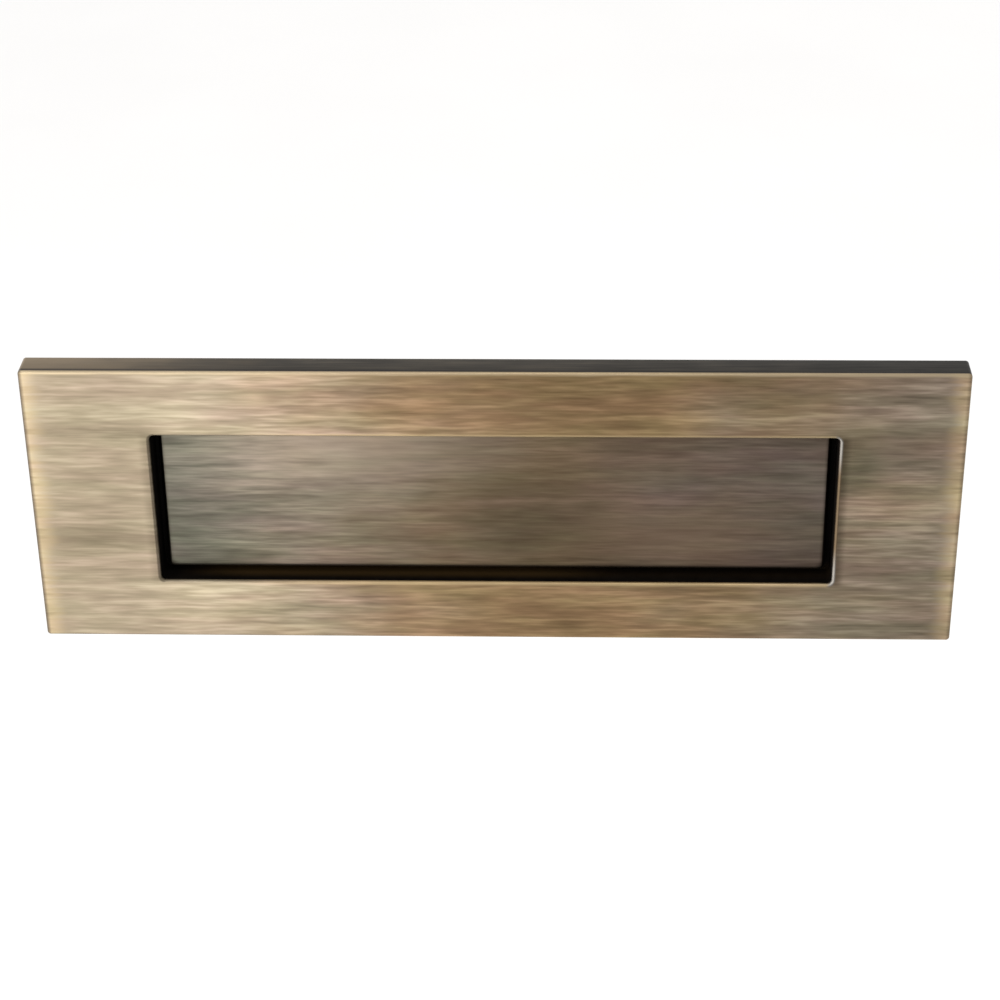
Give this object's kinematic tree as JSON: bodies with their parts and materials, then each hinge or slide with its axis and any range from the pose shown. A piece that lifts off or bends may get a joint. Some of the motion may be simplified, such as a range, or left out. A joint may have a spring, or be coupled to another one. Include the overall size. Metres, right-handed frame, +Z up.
{
  "type": "letter plate",
  "caption": "Low brass letter plate with a sprung inward-opening flap set back in its opening and threaded fixings behind.",
  "frame": {"origin": "middle of the plate's back plane, which rests on the door's outer face", "axes": "+X to the right seen from outside, +Y into the door, +Z up"},
  "size_m": [0.305, 0.0662, 0.1],
  "materials": {
    "aged_brass": "brushed antique brass, streaks along X, lighter at the worn edges",
    "dark_aged_brass": "brushed antique brass, darker than the plate",
    "fastener_brass": "satin",
    "zinc_steel": "bright zinc plate",
    "spring_steel": "oiled spring steel",
    "nylon": "natural nylon",
    "rubber": "black rubber"
  },
  "bodies": {
    "plate": {"face_plate": "aged_brass", "pivot_rod": "zinc_steel", "left_torsion_spring": "spring_steel", "right_torsion_spring": "spring_steel", "left_retaining_clip": "spring_steel", "right_retaining_clip": "spring_steel", "left_fixing_stud": "zinc_steel", "right_fixing_stud": "zinc_steel", "left_jam_nut": "zinc_steel", "right_jam_nut": "zinc_steel", "left_washer": "zinc_steel", "right_washer": "zinc_steel", "left_spring_washer": "spring_steel", "right_spring_washer": "spring_steel", "left_dome_nut": "fastener_brass", "right_dome_nut": "fastener_brass"},
    "flap": {"flap": "dark_aged_brass", "left_flap_bush": "nylon", "right_flap_bush": "nylon", "left_flap_buffer": "rubber", "right_flap_buffer": "rubber"}
  },
  "joints": [
    {"name": "flap_hinge", "type": "hinge", "parent": "plate", "child": "flap", "pos_m": [0, 0.007, 0.033], "axis": [1, 0, 0], "range_deg": [0, 85], "stiffness_Nm_per_rad": 0.14, "springref_deg": -57.3, "deforming": ["left_torsion_spring", "right_torsion_spring"]}
  ]
}
